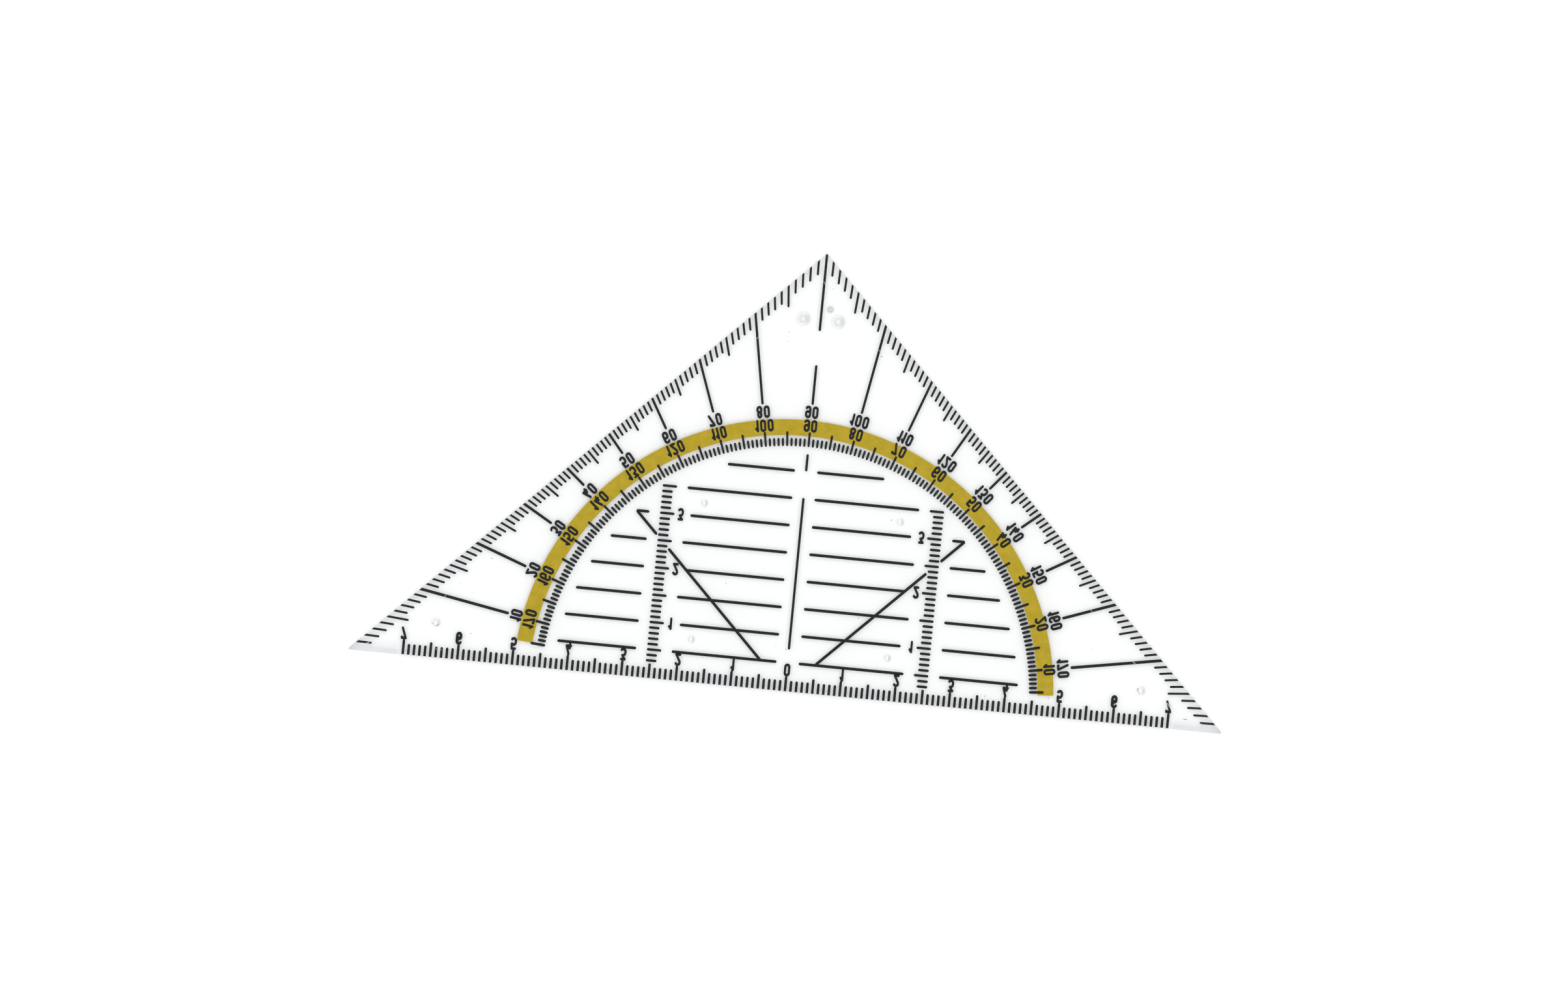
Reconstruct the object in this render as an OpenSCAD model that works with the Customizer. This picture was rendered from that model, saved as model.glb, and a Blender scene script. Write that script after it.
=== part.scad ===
// Drafting triangle with a protractor: one clear moulding, inked on one face.
// Millimetres. The printed face is up and the smooth, bevelled face rests on z = 0.
// The origin is the zero mark of the long scale. +X runs along the long edge and
// +Y runs to the apex, so the protractor is centred on the Z axis.

/* [Plate] */
// From the zero mark to the point where a leg meets the zero line
half_length = 80; // [76:0.5:90]
// Thickness of the clear plate
plate_t = 1.6; // [1.2:0.1:3]
// Plastic left outside the zero line, along the long edge
edge_margin = 0.3; // [0.2:0.05:0.8]
// Plan radius of the three corners
corner_r = 0.25; // [0.1:0.05:0.5]
// Width of the bevel under the long edge
long_bevel_w = 0.95; // [0.5:0.05:1.4]
// Width of the bevel under each leg
leg_bevel_w = 0.8; // [0.5:0.05:1.4]
// Height of the bevels. The rest of the thickness is an upright land
bevel_h = 0.5; // [0.3:0.05:1.1]

/* [Feet] */
// Height of the moulded feet that hold the print clear of the paper
foot_h = 0.2; // [0.15:0.05:0.5]
// How far the side of a foot leans in, from its base to its flat top
foot_lean = 0.25; // [0.1:0.05:0.4]
// Diameter of the two feet by the apex
apex_foot_d = 2.2; // [1.2:0.1:3]
// Distance of the apex feet from the centre line
apex_foot_x = 3.2; // [2.2:0.1:5]
// Distance of the apex feet below the apex
apex_foot_drop = 12.3; // [11:0.1:14]
// Diameter of the four feet inside the protractor
inner_foot_d = 1.5; // [1:0.1:2]
// Distance of the inner feet from the free ends of the inner lines
inner_foot_inset = 3.3; // [2:0.05:6]
// Height of the lower inner feet above the zero line
low_foot_y = 7.6; // [7:0.1:8]
// Distance of the upper inner feet below the top line
high_foot_drop = 7.5; // [7.2:0.1:7.8]
// Diameter of the two feet by the sharp corners
corner_foot_d = 1.7; // [1.2:0.1:2.4]
// Distance of the corner feet from the ends of the zero line
corner_foot_inset = 15.45; // [14:0.05:17]
// Height of the corner feet above the zero line
corner_foot_y = 6.15; // [5:0.05:6.5]
// Diameter of the shallow mark that the moulding gate left by the apex
gate_mark_d = 1.2; // [0.8:0.1:1.6]
// Distance of the gate mark from the centre line
gate_mark_x = 1.6; // [1:0.1:3]
// Distance of the gate mark below the apex
gate_mark_drop = 10.1; // [8:0.1:11]
// Depth of the gate mark
gate_mark_depth = 0.06; // [0.03:0.01:0.15]

/* [Ink] */
// Height of the black lines above the plate
ink_h = 0.08; // [0.05:0.01:0.14]
// Height of the coloured film above the plate
band_h = 0.03; // [0.02:0.005:0.04]
// Width of the millimetre ticks
tick_w = 0.49; // [0.3:0.01:0.6]
// Width of the degree ticks round the protractor, before the ink spreads
degree_w = 0.41; // [0.3:0.01:0.5]
// Width of the degree ticks along the legs
leg_tick_w = 0.41; // [0.3:0.01:0.5]
// Width of the parallel lines and of the diagonals that cross them
grid_w = 0.54; // [0.35:0.01:0.6]
// Width of the centre line, and of the ten-degree rays before their ink spreads
ray_w = 0.46; // [0.3:0.01:0.6]
// How much wider the press prints a ray or a degree tick that runs along the long edge
ink_spread = 0.1; // [0:0.01:0.15]
// Bare plastic between the ends of the lines and the edge of the plate
ink_inset = 0.1; // [0.05:0.01:0.15]

/* [Long scale] */
// Pitch of the millimetre ticks. A toolmaker adds the plastic's shrinkage here
mm_pitch = 1; // [0.99:0.001:1.01]
// Least length that each end of the long scale leaves free
corner_room = 9; // [6:0.5:12]
// Height of a one-millimetre tick above the zero line
mm_tick = 1.8; // [1.2:0.1:2]
// Height of a five-millimetre tick above the zero line
five_mm_tick = 2.5; // [2.1:0.1:2.8]

/* [Protractor] */
// Length of a one-degree tick
degree_tick = 1.56; // [1:0.02:1.7]
// Length of a five-degree tick
five_degree_tick = 2.76; // [2:0.02:3]
// First angle of the protractor, counted from the long edge
first_angle = 5; // [5:5:20]
// Gap between the one-degree ticks and the coloured band, where the band is true
band_gap = 0.44; // [0.1:0.02:0.6]
// Width of the coloured band, which carries the inner row of numbers
band_w = 2.9; // [2.6:0.05:3.2]
// Angle at which the band starts and ends, counted from the long edge
band_start = 4.7; // [3:0.1:5]
// The band is printed by itself, a little out of place along the long edge
band_shift = -0.4; // [-0.5:0.05:0.5]
// Turn of the band about the protractor's centre, also from its printing
band_turn = -0.4; // [-0.5:0.1:0.5]
// Bare ring outside the band, which carries the outer row of numbers
number_ring = 2.85; // [2.5:0.05:3.2]

/* [Leg scales] */
// Depth of a one-degree tick, square to the leg
leg_tick = 2.05; // [1.4:0.05:2.4]
// Depth of a five-degree tick, square to the leg
leg_five_tick = 3.15; // [2.6:0.05:3.6]
// Gap between those ticks and the outer row of numbers, at the middle of a leg
leg_gap = 1.23; // [0.6:0.01:2.5]

/* [Lines] */
// Pitch of the parallel lines
grid_pitch = 5; // [4.95:0.005:5.05]
// Gap between the line ends and the protractor's ticks
grid_gap = 1.94; // [1:0.02:3]
// Half of the gap that the parallel lines leave for the centre line
grid_start = 2; // [1.2:0.1:3]
// Gap between the inner lines and the five-millimetre height ticks
line_gap = 1.85; // [1.5:0.05:3]
// How much shorter the inner lines are that have a number beside them
number_room = 1; // [0.5:0.1:2]
// Gap between the height scale and the outer lines
outer_gap = 1.9; // [0.5:0.1:2.5]
// Gap that the diagonals leave on each side of the height scale
diagonal_gap = 0.15; // [0.1:0.01:0.5]
// Lower end of the centre line
centre_low = 7.4; // [6:0.1:10]
// Length of the bare place for words, below the top line
words_room = 4.8; // [2:0.1:8]
// Gap between the centre line and the protractor's 90 degree tick
centre_gap = 1.24; // [0.6:0.02:1.8]
// Distance from the apex to the bare place for a mark
mark_drop = 14.3; // [12:0.1:16]
// Length of the bare place for a mark
mark_room = 6.2; // [2:0.1:7]

/* [Height scales] */
// Width of the strip between a height scale and the end of the diagonal
outer_room = 4.25; // [3:0.05:6]
// Length of a one-millimetre height tick
height_tick = 2; // [1.4:0.1:2.4]
// Length of a five-millimetre height tick
height_five_tick = 2.7; // [2.5:0.1:3]
// First height tick above the zero line
height_first = 3; // [3:1:4]
// Least gap between the top height tick and the protractor's ticks
height_gap = 0.9; // [0.6:0.05:2]

/* [Hidden] */
// The sharp corners' angle
sharp = 45;
// Straight pieces in each half-round line end
end_steps = 4;
// Straight pieces in the quarter turn of a plate corner
corner_steps = 6;
// Facets of the round feet
foot_fn = 48;
// Overshoot of a cutter past the face that it cuts
over = 1;
// Millimetres or degrees between long ticks
five = 5;
// Degrees between rays, or millimetres between numbers
ten = 10;
// Shortest parallel line that is printed
short_line = 2;

// The rings, from the middle of a leg inwards
ray_start_r = half_length / sqrt(2) - leg_five_tick - leg_gap;
band_outer_r = ray_start_r - number_ring;
band_inner_r = band_outer_r - band_w;
arc_short_r = band_inner_r - band_gap;
arc_r = arc_short_r - degree_tick;
arc_long_r = arc_r + five_degree_tick;
grid_r = arc_r - grid_gap;

// A line from the protractor's centre that rises at 45 degrees meets the grid's end here
diagonal_end = grid_r / sqrt(2);
height_outer = diagonal_end - outer_room;
// Height of the top tick, in whole steps of five millimetres
height_last = five * floor(leg_of(arc_r - height_gap, height_outer) / (five * mm_pitch));
grid_end = height_outer - height_five_tick - line_gap;
outer_start = height_outer + outer_gap;
grid_rows = floor(leg_of(grid_r, grid_start + short_line) / grid_pitch);
inner_foot_x = grid_end - inner_foot_inset;
high_foot_y = grid_rows * grid_pitch - high_foot_drop;

words_high = grid_rows * grid_pitch;
words_low = words_high - words_room;
mark_high = half_length - mark_drop;
mark_low = mark_high - mark_room;

scale_ticks = ten * floor((half_length - corner_room) / (ten * mm_pitch));
// The ink stops on this line, x + y = leg_ink, which runs beside the leg
leg_ink = half_length - ink_inset * sqrt(2);
long_ink_y = ink_inset - edge_margin;

INK = "#272c2e";
OLIVE = [0.73, 0.63, 0.20];
CLEAR = [0.90, 0.95, 0.96, 0.45];

// Other short side of a right triangle with long side r and one short side s
function leg_of(r, s) = sqrt(r * r - s * s);

function is_long(i) = i % five == 0;

// Width of a printed line of nominal width w, by the angle that it makes with the long edge
function spread_w(w, angle) = w + ink_spread * pow(cos(angle), 4);

// A leg tick gives way to a ray that runs within half a degree of it
function gives_way(angle) = abs(angle - ten * round(angle / ten)) <= 0.5;

// Half circle of points round a line's end, from one side of the line to the other
function round_end(centre, turn, w) =
    [for (i = [0 : end_steps]) let (a = turn - 90 + 180 * i / end_steps)
        centre + w / 2 * [cos(a), sin(a)]];

// Outline of a line of ink whose tips are at a and b
function ink_outline(a, b, w) =
    let (turn = atan2(b.y - a.y, b.x - a.x), back = w / 2 * [cos(turn), sin(turn)])
    concat(round_end(b - back, turn, w), round_end(a + back, turn + 180, w));

// Distance from the centre to the line x + y = reach, along a line that is turned by
// angle and shifted sideways by side
function leg_distance(angle, side, reach) =
    (reach - side * (cos(angle) - sin(angle))) / (cos(angle) + sin(angle));

function ray_point(angle, side, along) =
    along * [cos(angle), sin(angle)] + side * [-sin(angle), cos(angle)];

// Outline of a line that runs out to the right leg and is cut off along it
function leg_outline(angle, start, w) =
    concat([for (side = [-w / 2, w / 2])
               ray_point(angle, side, leg_distance(angle, side, leg_ink))],
           round_end(ray_point(angle, 0, start + w / 2), angle + 180, w));

// Corner of the plate, rounded. tip is the sharp corner, turn is the direction that the
// corner points in, and open is the angle between its two edges
function plate_corner(tip, turn, open) =
    let (centre = tip - corner_r / sin(open / 2) * [cos(turn), sin(turn)], sweep = 180 - open)
    [for (i = [0 : corner_steps]) let (a = turn - sweep / 2 + sweep * i / corner_steps)
        centre + corner_r * [cos(a), sin(a)]];

function degree_outline(angle) =
    ink_outline(ray_point(angle, 0, arc_r),
                ray_point(angle, 0, is_long(angle) ? arc_long_r : arc_short_r),
                spread_w(degree_w, angle));

module on_plate(h) {
    translate([0, 0, plate_t]) linear_extrude(h) children();
}

module ink_line(a, b, w) {
    color(INK) on_plate(ink_h) polygon(ink_outline(a, b, w));
}

module left_side() {
    mirror([1, 0, 0]) children();
}

module plate_outline() {
    end_x = half_length + edge_margin;
    polygon(concat(plate_corner([end_x, -edge_margin], -sharp / 2, sharp),
                   plate_corner([0, half_length], 90, 2 * sharp),
                   plate_corner([-end_x, -edge_margin], 180 + sharp / 2, sharp)));
}

// Wedge that cuts the bevel under an edge along the X axis, with the plate on its +Y side
module bevel_wedge(w) {
    reach = 2 * half_length;
    slope = bevel_h / w;
    rotate([90, 0, 90]) translate([0, 0, -reach]) linear_extrude(2 * reach)
        polygon([[-over, -over], [w + over / slope, -over], [-over, bevel_h + over * slope]]);
}

module leg_bevel() {
    translate([half_length, 0, 0]) rotate([0, 0, 180 - sharp]) bevel_wedge(leg_bevel_w);
}

// A foot is a low round pad with leaning sides, and its root is sunk into the plate
module foot(x, y, d) {
    root = plate_t / 4;
    translate([x, y, plate_t]) rotate_extrude($fn = foot_fn)
        polygon([[0, -root], [d / 2, -root], [d / 2, 0], [d / 2 - foot_lean, foot_h], [0, foot_h]]);
}

module side_feet() {
    foot(apex_foot_x, half_length - apex_foot_drop, apex_foot_d);
    foot(inner_foot_x, low_foot_y, inner_foot_d);
    foot(inner_foot_x, high_foot_y, inner_foot_d);
    foot(half_length - corner_foot_inset, corner_foot_y, corner_foot_d);
}

module gate_mark() {
    translate([gate_mark_x, half_length - gate_mark_drop, plate_t - gate_mark_depth])
        cylinder(h = over, d = gate_mark_d, $fn = foot_fn);
}

module clear_plate() {
    color(CLEAR) {
        difference() {
            linear_extrude(plate_t) plate_outline();
            translate([0, -edge_margin, 0]) bevel_wedge(long_bevel_w);
            leg_bevel();
            left_side() leg_bevel();
            gate_mark();
        }
        side_feet();
        left_side() side_feet();
    }
}

// The black ticks lie beside the coloured film where the two meet, so they are cut out of it
module angle_band() {
    color(OLIVE) translate([0, 0, plate_t]) difference() {
        translate([band_shift, 0, 0]) rotate([0, 0, band_start + band_turn])
            rotate_extrude(angle = 180 - 2 * band_start, $fn = 360)
            translate([band_inner_r, 0]) square([band_w, band_h]);
        for (angle = [first_angle : 180 - first_angle])
            translate([0, 0, -over]) linear_extrude(2 * over) polygon(degree_outline(angle));
    }
}

module protractor_scale() {
    color(INK) on_plate(ink_h)
        for (angle = [first_angle : 180 - first_angle]) polygon(degree_outline(angle));
}

module long_edge_scale() {
    color(INK) on_plate(ink_h)
        for (i = [-scale_ticks : scale_ticks]) {
            x = i * mm_pitch;
            tip = [x, (is_long(i) ? five_mm_tick : mm_tick) - tick_w / 2];
            polygon(concat([[x - tick_w / 2, long_ink_y], [x + tick_w / 2, long_ink_y]],
                           round_end(tip, 90, tick_w)));
        }
}

module leg_scale() {
    color(INK) on_plate(ink_h)
        for (angle = [1 : 89]) if (!gives_way(angle)) {
            depth = is_long(angle) ? leg_five_tick : leg_tick;
            start = leg_distance(angle, 0, half_length - depth * sqrt(2));
            polygon(leg_outline(angle, start, leg_tick_w));
        }
}

module angle_rays() {
    color(INK) on_plate(ink_h)
        for (angle = [ten : ten : 89])
            polygon(leg_outline(angle, ray_start_r, spread_w(ray_w, angle)));
}

module centre_line() {
    ink_line([0, centre_low], [0, words_low], ray_w);
    ink_line([0, words_high], [0, arc_r - centre_gap], ray_w);
    ink_line([0, ray_start_r], [0, mark_low], ray_w);
    color(INK) on_plate(ink_h)
        polygon(concat(round_end([0, mark_high + ray_w / 2], -90, ray_w),
                       [[ray_w / 2, leg_ink - ray_w / 2], [0, leg_ink], [-ray_w / 2, leg_ink - ray_w / 2]]));
}

module inner_lines() {
    for (row = [1 : grid_rows]) {
        y = row * grid_pitch;
        free_end = grid_end - (row % 2 == 0 ? number_room : 0);
        ink_line([grid_start, y], [min(free_end, leg_of(grid_r, y)), y], grid_w);
    }
    diagonal_low_end = height_outer - height_tick - diagonal_gap;
    ink_line([grid_pitch, grid_pitch], diagonal_low_end * [1, 1], grid_w);
}

module outer_lines() {
    for (row = [1 : grid_rows]) {
        y = row * grid_pitch;
        reach = leg_of(grid_r, y);
        if (reach > outer_start + short_line) ink_line([outer_start, y], [reach, y], grid_w);
    }
    ink_line((height_outer + diagonal_gap) * [1, 1], diagonal_end * [1, 1], grid_w);
}

module height_scale() {
    for (i = [round(height_first / mm_pitch) : height_last]) {
        y = i * mm_pitch;
        ink_line([height_outer - (is_long(i) ? height_five_tick : height_tick), y],
                 [height_outer, y], tick_w);
    }
}

clear_plate();
angle_band();
long_edge_scale();
protractor_scale();
centre_line();
left_side() leg_scale();  // left_leg_scale
leg_scale();  // right_leg_scale
left_side() angle_rays();  // left_angle_rays
angle_rays();  // right_angle_rays
left_side() inner_lines();  // left_inner_lines
inner_lines();  // right_inner_lines
left_side() outer_lines();  // left_outer_lines
outer_lines();  // right_outer_lines
left_side() height_scale();  // left_height_scale
height_scale();  // right_height_scale
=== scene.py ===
# %% [markdown]
# # A clear drafting triangle
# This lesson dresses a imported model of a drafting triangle: one thin clear moulding
# with black scales, a coloured ring of print and a few hundred small marks of ink.
# The solids come from the CAD model and stay where they are. Blender adds the
# camera, the light, the plastic and the inks, the numbers of the scales, and the
# small signs of wear that make a school instrument look used.

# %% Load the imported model
import math

import bmesh
import bpy
import numpy as np
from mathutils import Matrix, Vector


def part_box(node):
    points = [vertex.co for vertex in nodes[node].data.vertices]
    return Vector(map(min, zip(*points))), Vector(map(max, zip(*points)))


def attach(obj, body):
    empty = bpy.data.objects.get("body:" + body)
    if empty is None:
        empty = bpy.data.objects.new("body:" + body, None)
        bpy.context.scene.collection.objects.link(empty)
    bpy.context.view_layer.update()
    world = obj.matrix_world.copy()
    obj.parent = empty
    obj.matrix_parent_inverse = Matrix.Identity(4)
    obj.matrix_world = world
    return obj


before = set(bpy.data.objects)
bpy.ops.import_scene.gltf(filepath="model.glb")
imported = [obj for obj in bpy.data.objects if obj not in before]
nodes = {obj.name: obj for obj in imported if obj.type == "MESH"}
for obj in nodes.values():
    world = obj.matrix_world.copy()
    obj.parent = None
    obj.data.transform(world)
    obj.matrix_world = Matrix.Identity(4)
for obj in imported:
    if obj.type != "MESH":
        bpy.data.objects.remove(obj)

MM = 0.001
scene = bpy.context.scene
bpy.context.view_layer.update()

# %% [markdown]
# ## The camera
# The photograph is a flat scan, so it has almost no perspective. A flat view could be
# made with an orthographic camera. Here it is a very long lens far above the object,
# because such a camera can also be moved round the object and still frame it well.
# The scan is turned by five and a half degrees, and so is the camera.

# %% Camera straight above
LENS, SENSOR = 300, 36
FRAME_WIDTH = 285.84 * MM
FRAME_MIDDLE = (-3.62 * MM, 35.64 * MM)
SCAN_TURN = 5.532
PRINT_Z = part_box("angle_band")[0].z
camera_data = bpy.data.cameras.new("camera")
camera_data.lens = LENS
camera_data.sensor_width = SENSOR
camera_data.clip_start, camera_data.clip_end = 0.01, 10
camera = bpy.data.objects.new("camera", camera_data)
scene.collection.objects.link(camera)
camera.location = (*FRAME_MIDDLE, PRINT_Z + FRAME_WIDTH * LENS / SENSOR)
camera.rotation_euler = (0, 0, math.radians(SCAN_TURN))
scene.camera = camera
print("camera height in m:", round(camera.location.z, 4))

# %% [markdown]
# ## Node helpers
# Every finish below is built from shader nodes. They could be wired by hand in the
# shader editor, but a few small helpers keep the recipes short enough to read: they
# add a node and fill its sockets, start a material, do a sum, make noise, blend two
# colours, and map a value from one range to another.

# %% Helpers for nodes
def add(tree, kind, *links, **settings):
    """Adds a node. links are (socket, value or output), settings are its properties."""
    node = tree.nodes.new("ShaderNode" + kind)
    for name, value in settings.items():
        setattr(node, name, value)
    for socket, value in links:
        if isinstance(value, bpy.types.NodeSocket):
            tree.links.new(value, node.inputs[socket])
        else:
            node.inputs[socket].default_value = value
    return node


def new_material(name):
    """A material without nodes, and its empty tree."""
    material = bpy.data.materials.new(name)
    material.use_nodes = True
    tree = material.node_tree
    tree.nodes.clear()
    return material, tree


def math_node(tree, operation, a, b=0.0, c=0.0):
    """The result of one sum."""
    return add(tree, "Math", (0, a), (1, b), (2, c), operation=operation).outputs[0]


# %% Helpers for looks
def spread(tree, value, low, high, new_low, new_high):
    """Maps value from low..high to new_low..new_high, clamped."""
    node = add(tree, "MapRange", (0, value), (1, low), (2, high), (3, new_low), (4, new_high))
    return node.outputs[0]


def noise(tree, vector, scale, detail=3.0, roughness=0.5):
    """Noise whose scale is in lumps per metre of object."""
    node = add(tree, "TexNoise", ("Vector", vector), ("Scale", scale), ("Detail", detail),
               ("Roughness", roughness))
    return node.outputs["Fac"]


def colour_between(tree, fac, first, second):
    """Blends two colours, each given as numbers or as a socket."""
    colours = [c if isinstance(c, bpy.types.NodeSocket) else (*c, 1) for c in (first, second)]
    node = add(tree, "Mix", (0, fac), (6, colours[0]), (7, colours[1]), data_type="RGBA")
    return node.outputs[2]


def seen_rays(tree):
    """1 for a ray that draws the picture: straight, mirrored, or bent through plastic."""
    path = add(tree, "LightPath").outputs
    straight = math_node(tree, "MAXIMUM", path["Is Camera Ray"], path["Is Glossy Ray"])
    return math_node(tree, "MAXIMUM", straight, path["Is Transmission Ray"])


# %% [markdown]
# ## Floor and light
# A scanner lid is a plain white sheet. The floor is white where it is seen, and it
# keeps the soft shadows that the lines of ink throw through the clear plate. Those
# shadows are the pale grey rims round every stroke, so the lamps stand high and close
# to the middle: low lamps would throw the shadows far to the side.

# %% Floor
FLOOR_DROP = 0.05 * MM
FLOOR_HALF = 2.5
FLOOR_GLOW = 0.155
WHITE = (1, 1, 1, 1)
floor_mesh = bpy.data.meshes.new("floor")
floor_bm = bmesh.new()
bmesh.ops.create_grid(floor_bm, x_segments=4, y_segments=4, size=FLOOR_HALF)
floor_bm.to_mesh(floor_mesh)
floor_bm.free()
floor = bpy.data.objects.new("floor", floor_mesh)
floor.location.z = -FLOOR_DROP
scene.collection.objects.link(floor)

floor_material, tree = new_material("white_lid")
paper_grain = noise(tree, add(tree, "TexCoord").outputs["Object"], 900)
unseen_colour = colour_between(tree, paper_grain, (0.78,) * 3, (0.82,) * 3)
unseen = add(tree, "BsdfDiffuse", ("Color", unseen_colour))
lit = add(tree, "BsdfDiffuse", ("Color", (0.905, 0.905, 0.905, 1)))
glow = add(tree, "Emission", ("Color", WHITE), ("Strength", FLOOR_GLOW))
seen = add(tree, "AddShader", (0, lit.outputs[0]), (1, glow.outputs[0]))
both = add(tree, "MixShader", (0, seen_rays(tree)), (1, unseen.outputs[0]), (2, seen.outputs[0]))
add(tree, "OutputMaterial", ("Surface", both.outputs[0]))
floor.data.materials.append(floor_material)
print("floor:", 2 * FLOOR_HALF, "m wide,", len(floor_mesh.polygons), "faces")

# %% Lamps and world
WORLD_LIGHT = 0.45
LAMP_LIGHT = 0.55
LAMP_TILT, LAMP_ANGLE = 17, 20
LAMPS, FIRST_LAMP = 6, 30
for i in range(LAMPS):
    sun_data = bpy.data.lights.new(f"lamp_{i}", "SUN")
    sun_data.energy = LAMP_LIGHT * math.pi / LAMPS / math.cos(math.radians(LAMP_TILT))
    sun_data.angle = math.radians(LAMP_ANGLE)
    sun = bpy.data.objects.new(f"lamp_{i}", sun_data)
    turn = math.radians(FIRST_LAMP + 360 * i / LAMPS)
    sun.rotation_euler = (math.radians(LAMP_TILT), 0, turn)
    scene.collection.objects.link(sun)

world = bpy.data.worlds.new("world")
world.use_nodes = True
tree = world.node_tree
tree.nodes.clear()
dim = add(tree, "Background", ("Color", WHITE), ("Strength", WORLD_LIGHT))
bright = add(tree, "Background", ("Color", WHITE), ("Strength", 1.0))
both = add(tree, "MixShader", (0, seen_rays(tree)), (1, dim.outputs[0]), (2, bright.outputs[0]))
add(tree, "OutputWorld", ("Surface", both.outputs[0]))
scene.world = world
scene.view_settings.view_transform = "Standard"
print("light on a level white sheet:", WORLD_LIGHT + LAMP_LIGHT)

# %% [markdown]
# ## Where the plastic leans
# The bevels get a little painted shade, greyer than the flat faces, and they are less
# smooth. A painted mask could mark them, but the shape marks them by itself: a face
# leans where the upright part of its normal is neither 1 nor 0. The bevels are the
# leaning faces below the print, and the sides of the feet are those above it.

# %% Masks from the shape
JUST_UNDER = 0.02 * MM
FLAT_FROM, UPRIGHT_TO = 0.97, 0.3
plate_heights = {v.co.z for v in nodes["clear_plate"].data.vertices}
MARK_FLOOR = max(z for z in plate_heights if z < PRINT_Z - JUST_UNDER)
print("levels of the plate in mm:", sorted({round(z / MM, 2) for z in plate_heights}))


def leaning(tree):
    """1 on a leaning face, 0 on a flat or an upright one."""
    normal = add(tree, "SeparateXYZ", (0, add(tree, "NewGeometry").outputs["Normal"]))
    up = math_node(tree, "ABSOLUTE", normal.outputs[2])
    not_flat = math_node(tree, "LESS_THAN", up, FLAT_FROM)
    return math_node(tree, "MULTIPLY", not_flat, math_node(tree, "GREATER_THAN", up, UPRIGHT_TO))


# %% [markdown]
# ## The clear plastic
# The plate is polished acrylic. A see-through look could be faked with alpha, but then
# the bevels and the little feet would vanish. Real refraction bends the view there and
# draws them for free. Light that should reach the floor would be lost in it, so for
# shadow rays the plate is simply transparent. Fine scratches from years of sliding
# over paper give the surface its roughness. The tints come first: the plastic is
# almost colourless on its flat faces, and the bevels get a little painted grey shade.

# %% Tints of the clear plastic, and painted shade on the bevels
plate_material, tree = new_material("clear_plastic")
place = add(tree, "TexCoord").outputs["Object"]
spot = add(tree, "SeparateXYZ", (0, place)).outputs
lean = leaning(tree)
clean = colour_between(tree, noise(tree, place, 60), (0.985, 0.993, 0.995), (0.997, 0.999, 1.0))
low = math_node(tree, "LESS_THAN", spot[2], PRINT_Z / 2)
on_bevel = math_node(tree, "MULTIPLY", lean, low)
# Painted shade: the leaning faces under the print are made a little grey.
colour_and_painted_shade = colour_between(tree, on_bevel, clean, (0.93, 0.94, 0.955))
print("nodes for the faces and bevels:", len(tree.nodes))

# %% [markdown]
# Past the last tick of the long scale the bevel is bare, and there it gets darker
# painted shade, darkest in the sharp corners. Two fades along the edge paint it,
# measured from the zero mark to both sides at once.

# %% Painted shade on the bare ends of the bevel: where each fade starts and ends, in mm
LAST_TICK = (70.3, 71.3)
BARE_Y = (0.3, 2.2)
TIP = (77.5, 79.6)


def fade_in(value, ends):
    """0 before the first of two places in mm, 1 after the second."""
    return spread(tree, value, ends[0] * MM, ends[1] * MM, 0, 1)


def fade_out(value, ends):
    """1 before the first of two places in mm, 0 after the second."""
    return spread(tree, value, ends[0] * MM, ends[1] * MM, 1, 0)


aside = math_node(tree, "ABSOLUTE", spot[0])
# Painted shade: the bare bevel is made darker grey, and darker still in the tips.
bare_bevel_shade = math_node(tree, "MULTIPLY", low, fade_in(aside, LAST_TICK))
bare_bevel_shade = math_node(tree, "MULTIPLY", bare_bevel_shade, fade_out(spot[1], BARE_Y))
colour_and_painted_shade = colour_between(tree, bare_bevel_shade, colour_and_painted_shade, (0.63, 0.65, 0.68))
tip_shade = math_node(tree, "MULTIPLY", on_bevel, fade_in(aside, TIP))
colour_and_painted_shade = colour_between(tree, tip_shade, colour_and_painted_shade, (0.46, 0.48, 0.50))
print("the bevel is bare past", LAST_TICK[0], "mm")

# %% [markdown]
# The feet are drawn as grey rings round a lighter middle, which is taller than wide,
# and the grey fades out on the plate round them: this is painted shade, for the view
# that their leaning sides bend away. The painted shade of each foot is darkest on its
# right. The feet by the sharp corners have small dark flecks. The left half of the
# triangle mirrors the right one, so the masks fold the plate along its centre line
# and measure how far each point is from the next foot.

# %% The feet: x, y, radius of the top, and half the height of the unshaded middle, in mm
FEET = [
    (3.2, 67.7, 0.85, 0.4),
    (17.95, 7.6, 0.5, 0.48),
    (17.95, 32.5, 0.5, 0.52),
    (64.55, 6.15, 0.6, 0.5),
]
MIDDLE_SQUEEZE = 1.8
FAR = 99.0


def from_feet(radii, squeeze):
    """How many radii each point is from the next foot, with x counted squeeze times."""
    across = math_node(tree, "MULTIPLY", aside, squeeze)
    folded = add(tree, "CombineXYZ", (0, across), (1, spot[1])).outputs[0]
    nearest = FAR
    for (x, y, *_), radius in zip(FEET, radii):
        away = add(tree, "VectorMath", (0, folded), (1, (squeeze * x * MM, y * MM, 0)),
                   operation="DISTANCE").outputs["Value"]
        nearest = math_node(tree, "MINIMUM", nearest,
                            math_node(tree, "DIVIDE", away, radius * MM))
    return nearest


foot_out = from_feet([foot[2] for foot in FEET], 1)
middle_out = from_feet([foot[3] for foot in FEET], MIDDLE_SQUEEZE)
print("feet on each half of the plate:", len(FEET))

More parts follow.
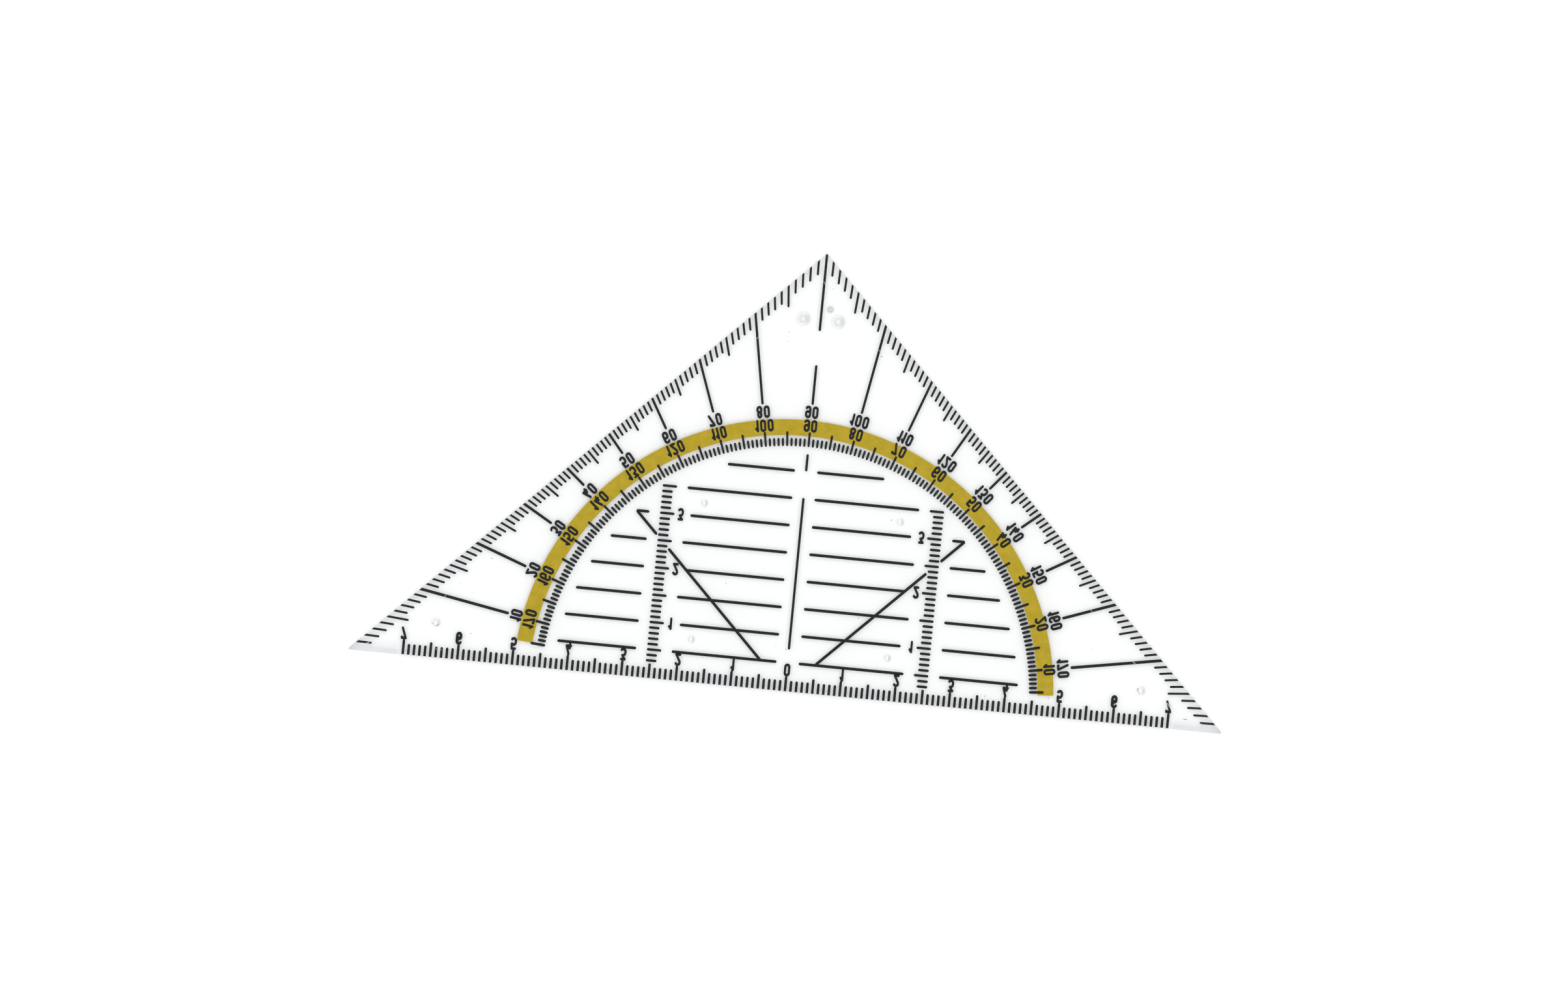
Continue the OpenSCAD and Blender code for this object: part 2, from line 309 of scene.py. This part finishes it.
# %% Which side of its foot a point is on
FOOT_REACH = 3.0
outward = 0.0
for x, _, radius, _ in FEET:
    offset = math_node(tree, "SUBTRACT", aside, x * MM)
    offset = math_node(tree, "DIVIDE", offset, radius * MM)
    near = math_node(tree, "LESS_THAN", math_node(tree, "ABSOLUTE", offset), FOOT_REACH)
    outward = math_node(tree, "MULTIPLY_ADD", offset, near, outward)
rightward = math_node(tree, "MULTIPLY", outward, math_node(tree, "SIGN", spot[0]))
print("each foot counts out to", FOOT_REACH, "radii")

# %% Painted shade of the feet, whose fades are counted in radii
TINY = 0.001 * MM
CORNER_FEET = 40 * MM
near_print = math_node(tree, "GREATER_THAN", spot[2], MARK_FLOOR - TINY)
# Painted shade: each foot is a grey ring, darker on its right, with darker spots in it, round a
# lighter middle.
foot_shade_and_flecks = colour_between(tree, spread(tree, rightward, 0.3, 1.0, 0, 1),
                           (0.66, 0.675, 0.685), (0.44, 0.455, 0.465))
foot_spots = spread(tree, noise(tree, place, 1500, 2), 0.5, 0.62, 0, 0.6)
foot_spots = math_node(tree, "MULTIPLY", foot_spots, math_node(tree, "LESS_THAN", foot_out, 0.9))
foot_shade_and_flecks = colour_between(tree, foot_spots, foot_shade_and_flecks, (0.46, 0.48, 0.49))
unshaded_middle = spread(tree, middle_out, 0.75, 1.05, 1, 0)
foot_shade_and_flecks = colour_between(tree, unshaded_middle, foot_shade_and_flecks, (0.92, 0.93, 0.935))

by_corner = math_node(tree, "GREATER_THAN", aside, CORNER_FEET)
flecks = spread(tree, noise(tree, place, 2600, 1), 0.60, 0.66, 0, 1)
flecks = math_node(tree, "MULTIPLY", flecks, math_node(tree, "COMPARE", foot_out, 1.02, 0.16))
flecks = math_node(tree, "MULTIPLY", flecks, by_corner)
foot_shade_and_flecks = colour_between(tree, flecks, foot_shade_and_flecks, (0.10, 0.11, 0.12))
# The painted shade of the feet fades out on the plate round them.
by_foot = math_node(tree, "MULTIPLY", near_print, spread(tree, foot_out, 1.15, 1.9, 1, 0))
colour_and_painted_shade = colour_between(tree, by_foot, colour_and_painted_shade, foot_shade_and_flecks)
print("nodes for all the tints so far:", len(tree.nodes))

# %% [markdown]
# The plastic was let into the mould at a point near the right-angled corner, which
# left a shallow round mark. Its grey middle and darker rim are painted shade. The mask is
# the distance from the middle of that mark, counted in its radii.

# %% Painted shade of the gate mark: x, y and radius in mm
MARK_X, MARK_Y, MARK_R = 1.57, 69.8, 0.4
away = add(tree, "VectorMath", (0, place), (1, (MARK_X * MM, MARK_Y * MM, MARK_FLOOR)),
           operation="DISTANCE").outputs["Value"]
mark_out = math_node(tree, "DIVIDE", away, MARK_R * MM)
# Painted shade: grey in the middle of the mark, darker towards its rim.
mark_shade = colour_between(tree, spread(tree, mark_out, 0.35, 0.8, 0, 1),
                           (0.56, 0.58, 0.59), (0.38, 0.40, 0.41))
by_mark = math_node(tree, "MULTIPLY", near_print, spread(tree, mark_out, 1.0, 2.3, 1, 0))
colour_and_painted_shade = colour_between(tree, by_mark, colour_and_painted_shade, mark_shade)
print("gate mark in mm:", MARK_X, MARK_Y)

# %% [markdown]
# The degree ticks stand so close together that the little ridges under them almost
# touch, and the plastic between them lies in their shade. A ring-shaped mask paints that shade
# grey.

# %% Painted shade between the degree ticks: where the ring fades in and out, in mm
RING_IN, RING_OUT = (44.65, 45.0), (45.55, 45.9)
RING_START_Y = 3.55
flat_place = add(tree, "CombineXYZ", (0, spot[0]), (1, spot[1])).outputs[0]
from_zero = add(tree, "VectorMath", (0, flat_place), operation="LENGTH").outputs["Value"]
ring_shade = math_node(tree, "MULTIPLY", fade_in(from_zero, RING_IN), fade_out(from_zero, RING_OUT))
ring_shade = math_node(tree, "MULTIPLY", ring_shade,
                    math_node(tree, "GREATER_THAN", spot[1], RING_START_Y * MM))
ring_shade = math_node(tree, "MULTIPLY", ring_shade, near_print)
# Painted shade: the plate between the degree ticks is made grey.
colour_and_painted_shade = colour_between(tree, ring_shade, colour_and_painted_shade, (0.60, 0.61, 0.61))
print("grey ring from", RING_IN[0], "to", RING_OUT[1], "mm")

# %% [markdown]
# Now the surface itself. Stretched noise stands for the fine rubbing, which runs
# across the plate at a slant, and drives both the roughness and a very low bump.

# %% Clear plastic
turned = add(tree, "Mapping", ("Vector", place), ("Rotation", (0, 0, 0.6)), ("Scale", (0.04, 1, 1)))
rubbed = noise(tree, turned.outputs[0], 5000, 4)
polished = spread(tree, rubbed, 0.35, 0.75, 0.01, 0.06)
rough = math_node(tree, "MULTIPLY_ADD", lean, 0.12, polished)
bumps = add(tree, "Bump", ("Strength", 0.04), ("Distance", 0.02 * MM), ("Height", rubbed))
plastic = add(tree, "BsdfPrincipled", ("Base Color", colour_and_painted_shade), ("Roughness", rough), ("IOR", 1.49),
              ("Transmission Weight", 1.0), ("Normal", bumps.outputs[0]))
clear = add(tree, "BsdfTransparent", ("Color", (0.985, 0.99, 0.99, 1)))
path = add(tree, "LightPath").outputs
passes = math_node(tree, "MAXIMUM", path["Is Shadow Ray"], path["Is Diffuse Ray"])
both = add(tree, "MixShader", (0, passes), (1, plastic.outputs[0]), (2, clear.outputs[0]))
add(tree, "OutputMaterial", ("Surface", both.outputs[0]))
print("nodes in", plate_material.name, "in all:", len(tree.nodes))

# %% [markdown]
# ## Scratches through the ink
# Old scratches cross the print as fine pale lines. They could be cut into the solids,
# but a scratch is thinner than the film, so it is a mask in the ink's colour. The
# Mapping node in its Texture mode moves, turns and scales the coordinates until one
# scratch is the square from -1 to 1, and then a comparison finds the points inside.

# %% Scratches: from x, y to x, y, and half the width, in mm
SCRATCHES = [
    (-76.92, 1.0, -75.98, 1.62, 0.045), (-76.85, 1.16, -76.1, 1.66, 0.02),
    (75.68, 1.38, 76.55, 0.95, 0.04), (75.72, 1.2, 76.3, 0.9, 0.025),
    (69.4, 4.46, 70.42, 3.28, 0.045), (69.66, 4.42, 70.55, 3.36, 0.03),
    (62.44, 11.4, 63.17, 10.75, 0.035), (62.6, 11.44, 63.32, 10.8, 0.022),
    (-0.15, 74.8, 0.32, 74.15, 0.04), (54.06, 20.0, 54.5, 19.42, 0.035),
    (-63.42, 10.96, -63.12, 11.28, 0.04), (-64.14, 1.53, -63.74, 1.11, 0.035),
    (-63.11, 1.13, -62.94, 1.5, 0.018), (-53.85, -0.18, -53.62, -0.02, 0.035),
    (-52.8, -0.15, -52.6, 0.02, 0.035), (-11.4, 63.12, -10.92, 63.64, 0.035),
    (10.88, 63.38, 11.46, 63.03, 0.035),
]


def scratched(tree, place):
    """1 on a scratch, 0 elsewhere."""
    total = 0.0
    for x0, y0, x1, y1, half in SCRATCHES:
        middle = ((x0 + x1) / 2 * MM, (y0 + y1) / 2 * MM, 0)
        half_length = math.hypot(x1 - x0, y1 - y0) / 2 * MM
        local = add(tree, "Mapping", ("Vector", place), ("Location", middle),
                    ("Rotation", (0, 0, math.atan2(y1 - y0, x1 - x0))),
                    ("Scale", (half_length, half * MM, 1)), vector_type="TEXTURE").outputs[0]
        away = add(tree, "VectorMath", (0, local), operation="ABSOLUTE").outputs[0]
        away = add(tree, "SeparateXYZ", (0, away)).outputs
        inside = math_node(tree, "LESS_THAN", math_node(tree, "MAXIMUM", away[0], away[1]), 1.0)
        total = math_node(tree, "MAXIMUM", total, inside)
    return total


print("scratches:", len(SCRATCHES))

# %% [markdown]
# ## The black ink
# The ink is a charcoal lacquer with a breath of green blue. It isn't quite even: it
# lies thinner in places. Where it is scratched through, the pale edge of the torn film
# shows, which is an opaque colour here and not a hole. The specks beside the lines are
# thinner ink, which is the same recipe in two paler greys.

# %% Black ink
TORN_FILM = (0.52, 0.54, 0.54)


def ink_finish(name, dark, light):
    """A matte ink, mottled between two colours, with the scratches through it."""
    material, tree = new_material(name)
    place = add(tree, "TexCoord").outputs["Object"]
    cloud = noise(tree, place, 1500, 4)
    colour = colour_between(tree, scratched(tree, place),
                            colour_between(tree, cloud, dark, light), TORN_FILM)
    bumps = add(tree, "Bump", ("Strength", 0.3), ("Distance", 0.01 * MM),
                ("Height", noise(tree, place, 9000, 2)))
    ink = add(tree, "BsdfPrincipled", ("Base Color", colour),
              ("Roughness", spread(tree, cloud, 0.3, 0.7, 0.45, 0.7)),
              ("Specular IOR Level", 0.1), ("Normal", bumps.outputs[0]))
    add(tree, "OutputMaterial", ("Surface", ink.outputs[0]))
    return material


ink_material = ink_finish("black_ink", (0.004, 0.006, 0.007), (0.017, 0.021, 0.023))
thin_material = ink_finish("thin_ink", (0.13, 0.125, 0.115), (0.26, 0.25, 0.23))
print("inks:", ink_material.name, thin_material.name)

# %% [markdown]
# ## The olive film
# The protractor's ring is a thin film of olive yellow print. It is a little mottled,
# as a screen print is. It could be mixed with a transparent shader, but the light that
# it lets through only makes it a paler olive, so an opaque colour is enough.

# %% Olive film
film_material, tree = new_material("olive_ink")
place = add(tree, "TexCoord").outputs["Object"]
mottle = noise(tree, place, 700, 5, 0.65)
film_colour = colour_between(tree, spread(tree, mottle, 0.3, 0.7, 0, 1),
                             (0.405, 0.300, 0.006), (0.515, 0.370, 0.024))
film_bumps = add(tree, "Bump", ("Strength", 0.15), ("Distance", 0.01 * MM),
                 ("Height", noise(tree, place, 5000, 2)))
film = add(tree, "BsdfPrincipled", ("Base Color", film_colour),
           ("Roughness", spread(tree, mottle, 0.3, 0.7, 0.3, 0.5)),
           ("Specular IOR Level", 0.1), ("Normal", film_bumps.outputs[0]))
add(tree, "OutputMaterial", ("Surface", film.outputs[0]))
print("nodes in", film_material.name, "in all:", len(tree.nodes))

# %% Hand out the materials
for name, piece in nodes.items():
    piece.data.materials.clear()
    finish = {"clear_plate": plate_material, "angle_band": film_material}.get(name, ink_material)
    piece.data.materials.append(finish)
print("finishes on", len(nodes), "solids")

# %% [markdown]
# ## The numbers
# The numbers of the scales are drawn with a round pen, as on engraved instruments:
# each digit is one or two strokes of even width. A font object would give other
# shapes, so each digit is a set of pen paths in millimetres about its own middle. The
# 6 of the long scale has two more, because its holes are partly filled with ink.

# %% Pen paths of the digits
def loop(x, y, rx, ry, start=0, end=360, steps=16):
    """Points on an ellipse, from one angle to another."""
    turns = [math.radians(start + (end - start) * i / steps) for i in range(steps + 1)]
    return [(x + rx * math.cos(t), y + ry * math.sin(t)) for t in turns]


BOWL = [(0.12, 0.17), (0.28, 0.04), (0.37, -0.2), (0.37, -0.6), (0.22, -0.87), (0.01, -0.96),
        (-0.2, -0.91), (-0.35, -0.77)]
ZERO = (loop(0, 0.55, 0.37, 0.39, 0, 180, 10) + loop(0, -0.55, 0.37, 0.39, 180, 360, 10)
        + [(0.37, 0.55)])
SIX = ([(0.36, 0.71), (0.26, 0.87), (0.08, 0.95), (-0.13, 0.93), (-0.31, 0.78), (-0.38, 0.5),
        (-0.38, -0.5)] + loop(0, -0.5, 0.38, 0.45, 180, 360) + [(0.38, -0.2)]
       + loop(0, -0.18, 0.38, 0.28, 10, 170, 8))
CLOTS = [[(-0.2, 0.35), (-0.2, 0.5)], loop(0, -0.48, 0.345, 0.42)]
PATHS = {
    "0": [ZERO],
    "1": [[(0, 0.93), (-0.02, -0.93)], [(-0.32, 0.51), (-0.02, 0.9)]],
    "2": [[(-0.33, 0.74), (-0.25, 0.86), (-0.1, 0.94), (0.1, 0.95), (0.3, 0.83), (0.38, 0.58),
           (0.31, 0.3), (0.12, -0.03), (-0.35, -0.91), (0.35, -0.91)]],
    "3": [[(-0.31, 0.92), (0.34, 0.92), (-0.15, 0.22)] + BOWL],
    "4": [[(0.06, 0.93), (-0.4, -0.56), (0.38, -0.56)], [(0.2, -0.15), (0.2, -0.92)],
          [(-0.1, -0.25), (0.13, -0.2), (0.1, -0.38)]],
    "5": [[(0.3, 0.92), (-0.3, 0.92), (-0.35, 0.05), (-0.1, 0.21)] + BOWL],
    "6": [SIX],
    "clotted 6": [SIX, *CLOTS],
    "7": [[(-0.36, 0.74), (-0.35, 0.9), (0.36, 0.9), (-0.32, -0.93)]],
    "8": [loop(0.02, 0.47, 0.3, 0.47), loop(0.02, -0.46, 0.37, 0.5)],
    "9": [[(0.03 - x, -0.03 - y) for x, y in SIX]],
}
print("strokes of each digit:", {name: len(paths) for name, paths in PATHS.items()})

# %% [markdown]
# How far a point lies from the nearest path makes a height field over a small grid.
# Smoothing the field lets the ink run together a little in the corners, as it does on
# the real one.

# %% Distance from the pen's path
CELL = 0.06
HALF_W, HALF_H = 0.8, 1.35
COLUMNS, ROWS = round(2 * HALF_W / CELL), round(2 * HALF_H / CELL)
GRID_X, GRID_Y = np.meshgrid(np.linspace(-HALF_W, HALF_W, COLUMNS + 1),
                             np.linspace(-HALF_H, HALF_H, ROWS + 1), indexing="ij")
SMOOTH_ROUNDS = 2
SMOOTH_WEIGHTS = ((1, 1, 0.4), (0, 1, 0.15), (2, 1, 0.15), (1, 0, 0.15), (1, 2, 0.15))


def distance_field(paths):
    """Smoothed distance from each point of the grid to the nearest of the paths."""
    points = np.stack([GRID_X.ravel(), GRID_Y.ravel()], 1)
    nearest = np.full(len(points), np.inf)
    for path_points in paths:
        for a, b in zip(path_points, path_points[1:]):
            a, b = np.array(a), np.array(b)
            along = np.clip((points - a) @ (b - a) / max((b - a) @ (b - a), 1e-9), 0, 1)
            away = points - a - along[:, None] * (b - a)
            nearest = np.minimum(nearest, np.linalg.norm(away, axis=1))
    field = nearest.reshape(COLUMNS + 1, ROWS + 1)
    for _ in range(SMOOTH_ROUNDS):
        padded = np.pad(field, 1, mode="edge")
        field = sum(padded[i:i + COLUMNS + 1, j:j + ROWS + 1] * w for i, j, w in SMOOTH_WEIGHTS)
    return field


print("grid of a digit:", COLUMNS, "by", ROWS, "cells")

# %% [markdown]
# Cutting that field at half the pen's width leaves the inked shape, with its holes.
# The bisect tool cuts it, and the cut's rim is kept, cleared of points that lie in a
# line, and filled.

# %% The inked shape of a digit
PEN_HALF = 0.218
IN_LINE = math.radians(3)


def fill_inked(bm, field):
    """Fills bm with the flat faces where the field is under half the pen's width."""
    grid = [[bm.verts.new((GRID_X[i, j], GRID_Y[i, j], field[i, j])) for j in range(ROWS + 1)]
            for i in range(COLUMNS + 1)]
    for i in range(COLUMNS):
        for j in range(ROWS):
            bm.faces.new((grid[i][j], grid[i + 1][j], grid[i + 1][j + 1], grid[i][j + 1]))
    bmesh.ops.bisect_plane(bm, geom=bm.verts[:] + bm.edges[:] + bm.faces[:], dist=1e-5,
                           plane_co=(0, 0, PEN_HALF), plane_no=(0, 0, 1), clear_outer=True)
    rim = {e for e in bm.edges if e.is_boundary}
    bmesh.ops.delete(bm, geom=bm.faces[:], context="FACES_ONLY")
    bmesh.ops.delete(bm, geom=[e for e in bm.edges if e not in rim], context="EDGES")
    bmesh.ops.delete(bm, geom=[v for v in bm.verts if not v.link_edges], context="VERTS")
    for v in bm.verts:
        v.co.z = 0
    bmesh.ops.dissolve_limit(bm, angle_limit=IN_LINE, verts=bm.verts[:], edges=bm.edges[:])
    bmesh.ops.triangle_fill(bm, edges=bm.edges[:], use_beauty=True)


# %% [markdown]
# The filled shape is extruded to the ink's height, and its top is drawn in a little,
# so that the sides lean as those of a drop do. Each point also gets the way out of
# the ink, which is the slope of the field, because the ink spreads that way below.

# %% A digit as a solid
LEAN = 0.03


def digit_mesh(paths, height):
    """One digit in mm, from z = 0 to height: points (x, y, z, way out in x, y) and faces."""
    field = distance_field(paths)
    slope = np.stack(np.gradient(field, CELL), 2)
    bm = bmesh.new()
    fill_inked(bm, field)
    made = bmesh.ops.extrude_face_region(bm, geom=bm.faces[:], use_keep_orig=True)
    outwards = {}
    for v in bm.verts:
        i = min(int((v.co.x + HALF_W) / CELL), COLUMNS)
        j = min(int((v.co.y + HALF_H) / CELL), ROWS)
        outwards[v] = Vector((*slope[i, j], 0)).normalized()
    for v in (g for g in made["geom"] if isinstance(g, bmesh.types.BMVert)):
        v.co += Vector((0, 0, height)) - LEAN * outwards[v]
    bmesh.ops.recalc_face_normals(bm, faces=bm.faces[:])
    # The fill may make its faces in another order each run, so everything is sorted.
    in_order = sorted(bm.verts, key=lambda v: tuple(v.co))
    number = {v: i for i, v in enumerate(in_order)}
    points = [(*v.co, outwards[v].x, outwards[v].y) for v in in_order]
    faces = sorted(([number[v] for v in f.verts] for f in bm.faces), key=sorted)
    bm.free()
    return points, faces


# %% Make the digits
INK_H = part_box("centre_line")[1].z - PRINT_Z
DIGITS = {name: digit_mesh(paths, INK_H / MM) for name, paths in PATHS.items()}
print("points in each digit:", {name: len(points) for name, (points, _) in DIGITS.items()})

# %% [markdown]
# A number is set digit by digit, each as wide as its ink, with an even gap. The print
# is seen from its own side, so all of it is mirrored: on the long scale up is towards
# the edge, and on the protractor up is towards the centre. The press spread the ink a
# little along Y, so a stroke that runs along X comes out thicker, whichever way its
# number is turned.

# %% Places of the digits in a number
INK_EDGES = {"1": (-0.54, 0.21), "0": (-0.58, 0.58)}
OTHER_EDGES = (-0.57, 0.57)
GAP, GAP_IN_11 = 0.24, 0.06


def digit_places(text):
    """Where each digit's middle goes, along the line of the number."""
    places, pen = [], 0.0
    for i, digit in enumerate(text):
        left, right = INK_EDGES.get(digit, OTHER_EDGES)
        if i:
            pen += GAP_IN_11 if text[i - 1:i + 1] == "11" else GAP
        places.append(pen - left)
        pen += right - left
    return [p - pen / 2 for p in places]


print("middles of the digits of 120:", [round(p, 2) for p in digit_places("120")])

# %% Set numbers along a line
INK_SPREAD = 0.045


def ink_piece(name, mesh, material):
    """An object of ink on the plate."""
    piece = bpy.data.objects.new(name, mesh)
    scene.collection.objects.link(piece)
    piece.data.materials.append(material)
    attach(piece, "root")
    print(name, "has", len(mesh.polygons), "faces")


def number_piece(name, numbers):
    """One object of many numbers: (digits, x, y, direction up, scale), all in mm."""
    points, faces = [], []
    for text, x, y, up, scale in numbers:
        up = np.array(up) * scale
        right = np.array((-up[1], up[0]))
        for digit, offset in zip(text, digit_places(text)):
            first = len(points)
            for gx, gy, gz, out_x, out_y in DIGITS[digit][0]:
                at = np.array((x, y)) + (gx + offset) * right + gy * up
                at[1] += INK_SPREAD * (out_x * right[1] + out_y * up[1])
                points.append((at[0] * MM, at[1] * MM, PRINT_Z + gz * MM))
            faces += [[first + i for i in face] for face in DIGITS[digit][1]]
    mesh = bpy.data.meshes.new(name)
    mesh.from_pydata(points, [], faces)
    bm = bmesh.new()
    bm.from_mesh(mesh)
    bmesh.ops.recalc_face_normals(bm, faces=bm.faces[:])
    bm.to_mesh(mesh)
    bm.free()
    ink_piece(name, mesh, ink_material)


# %% Numbers of the straight scales, in mm
LONG_Y = 3.68
SHIFT = {5: -0.03, 6: -0.06, 7: -0.09}
PRINT_SHIFT = 0.03
HEIGHT_X, HEIGHT_SIZE = 22.03, 0.98
long_numbers = []
for k in range(-7, 8):
    text = ["clotted 6"] if abs(k) == 6 else str(abs(k))
    long_numbers.append((text, 10 * k + SHIFT.get(abs(k), PRINT_SHIFT), LONG_Y, (0, -1), 1.0))
number_piece("long_edge_numbers", long_numbers)
for side, sign in (("left", -1), ("right", 1)):
    column_x = HEIGHT_X * sign + PRINT_SHIFT
    column = [(str(k), column_x, 10 * k + PRINT_SHIFT, (0, -1), HEIGHT_SIZE) for k in (1, 2, 3)]
    number_piece(f"{side}_height_numbers", column)

# %% Numbers of the protractor, in mm
INNER_R, OUTER_R = 48.33, 50.83
ARC_SIZE = 0.97


def round_the_arc(radius, reading):
    """Numbers every ten degrees round the protractor's centre."""
    made = []
    for angle in range(10, 171, 10):
        c, s = math.cos(math.radians(angle)), math.sin(math.radians(angle))
        made.append((str(reading(angle)), radius * c, radius * s, (-c, -s), ARC_SIZE))
    return made


number_piece("inner_angle_numbers", round_the_arc(INNER_R, lambda angle: angle))
number_piece("outer_angle_numbers", round_the_arc(OUTER_R, lambda angle: 180 - angle))

# %% [markdown]
# ## Ink out of place
# The ink ran together where a number stands close over its tick, and the screen left
# a few specks beside the lines. Both are short strokes with round ends. They could be
# painted by a mask, as the scratches are, but ink that lies on bare plastic has to
# have a body of its own to throw its little shadow.

# %% Short strokes of ink
ROUND_STEPS = 6


def add_stroke(bm, x0, y0, x1, y1, half, height):
    """One stroke with round ends, in mm, from the print's plane to height over it."""
    turn = math.atan2(y1 - y0, x1 - x0)
    rim = []
    for x, y, start in ((x1, y1, -90), (x0, y0, 90)):
        for i in range(ROUND_STEPS + 1):
            t = turn + math.radians(start + 180 * i / ROUND_STEPS)
            rim.append((x + half * math.cos(t), y + half * math.sin(t)))
    bottom, top = ([bm.verts.new((x * MM, y * MM, PRINT_Z + z * MM)) for x, y in rim]
                   for z in (0, height))
    bm.faces.new(top)
    bm.faces.new(bottom[::-1])
    for i in range(len(rim)):
        j = (i + 1) % len(rim)
        bm.faces.new((bottom[i], bottom[j], top[j], top[i]))


def stroke_piece(name, strokes, height, material):
    """One object of many strokes: (x, y, to x, y, half the width), all in mm."""
    bm = bmesh.new()
    for stroke in strokes:
        add_stroke(bm, *stroke, height)
    mesh = bpy.data.meshes.new(name)
    bm.to_mesh(mesh)
    bm.free()
    ink_piece(name, mesh, material)


# %% Runs from tick to number
TICK_TOP = 2.5
RUN_HALF = 0.2
RUN_HEIGHT = 0.9 * INK_H / MM
NECKS = {1: 0.1, 4: 0.05}
runs = []
for k in range(-7, 8):
    neck_x = 10 * k + NECKS.get(abs(k), 0.0)
    runs.append((10 * k, TICK_TOP - RUN_HALF, neck_x, TICK_TOP + RUN_HALF, RUN_HALF))
stroke_piece("ink_runs", runs, RUN_HEIGHT, ink_material)

# %% Specks
SPECK_HEIGHT = 0.5 * INK_H / MM
SPECKS = [
    (72.85, 1.69, 73.42, 1.75, 0.055), (47.95, 2.98, 47.93, 3.3, 0.045),
    (36.32, 2.32, 36.48, 2.5, 0.05), (-58.0, 4.76, -57.98, 4.78, 0.08),
    (16.34, 32.7, 16.36, 32.72, 0.09), (-55.5, 18.7, -55.48, 18.72, 0.09),
    (1.7, 73.6, 1.72, 73.61, 0.06), (1.94, 70.83, 1.96, 70.84, 0.05),
    (-58.3, 12.25, -58.28, 12.26, 0.05), (54.9, 12.8, 54.92, 12.81, 0.05),
    (-60.8, 13.7, -60.78, 13.71, 0.05), (-3.33, 75.97, -3.31, 75.98, 0.06),
    (-5.57, 65.04, -5.55, 65.05, 0.07), (-5.57, 63.3, -5.55, 63.31, 0.06),
    (4.64, 64.0, 4.66, 64.01, 0.04), (11.5, 62.23, 11.88, 62.14, 0.04),
    (-2.42, 7.82, -2.4, 7.81, 0.06), (-0.62, 7.45, -0.44, 7.36, 0.05),
    (-12.58, 18.24, -12.56, 18.44, 0.045), (-5.85, 21.7, -5.83, 21.71, 0.05),
    (12.03, 14.2, 12.07, 14.5, 0.03), (-22.74, 44.7, -22.72, 44.71, 0.07),
]
stroke_piece("ink_specks", SPECKS, SPECK_HEIGHT, thin_material)
